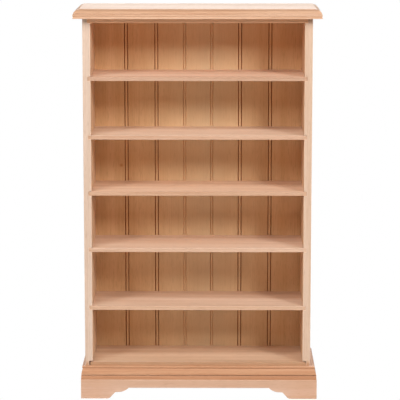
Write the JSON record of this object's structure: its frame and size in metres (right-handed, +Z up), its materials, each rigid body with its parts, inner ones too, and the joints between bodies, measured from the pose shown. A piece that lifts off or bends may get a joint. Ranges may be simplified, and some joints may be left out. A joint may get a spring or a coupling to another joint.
{
  "type": "miniature bookcase",
  "caption": "Bare wood dolls' house bookcase, open at the front, with fixed housed shelves, a grooved back panel, a moulded overhanging top and a plinth with bracket feet.",
  "frame": {"origin": "on the floor, under the middle of the overall width and depth", "axes": "+Z up, the open front faces -Y, +X to the right seen from the front"},
  "size_m": [0.1112, 0.039, 0.1782],
  "materials": {
    "top_wood": "bare beech, planed and sanded, worked edge",
    "case_wood": "bare beech, planed and sanded",
    "side_wood": "bare beech, planed and sanded, upright grain",
    "shelf_wood": "bare beech, planed and sanded, grain along the shelf",
    "back_wood": "bare beech sheet with cut grooves, upright grain",
    "moulding_wood": "bare beech strip, moulded and sanded",
    "plinth_wood": "bare beech, sawn to shape and sanded"
  },
  "bodies": {
    "root": {"top_board": "top_wood", "case_top": "case_wood", "side_left": "side_wood", "side_right": "side_wood", "shelf_1": "shelf_wood", "shelf_2": "shelf_wood", "shelf_3": "shelf_wood", "shelf_4": "shelf_wood", "shelf_5": "shelf_wood", "bottom_shelf": "shelf_wood", "back_panel": "back_wood", "base_moulding_front": "moulding_wood", "base_moulding_left": "moulding_wood", "base_moulding_right": "moulding_wood", "plinth_front": "plinth_wood", "plinth_left": "plinth_wood", "plinth_right": "plinth_wood"}
  },
  "joints": []
}
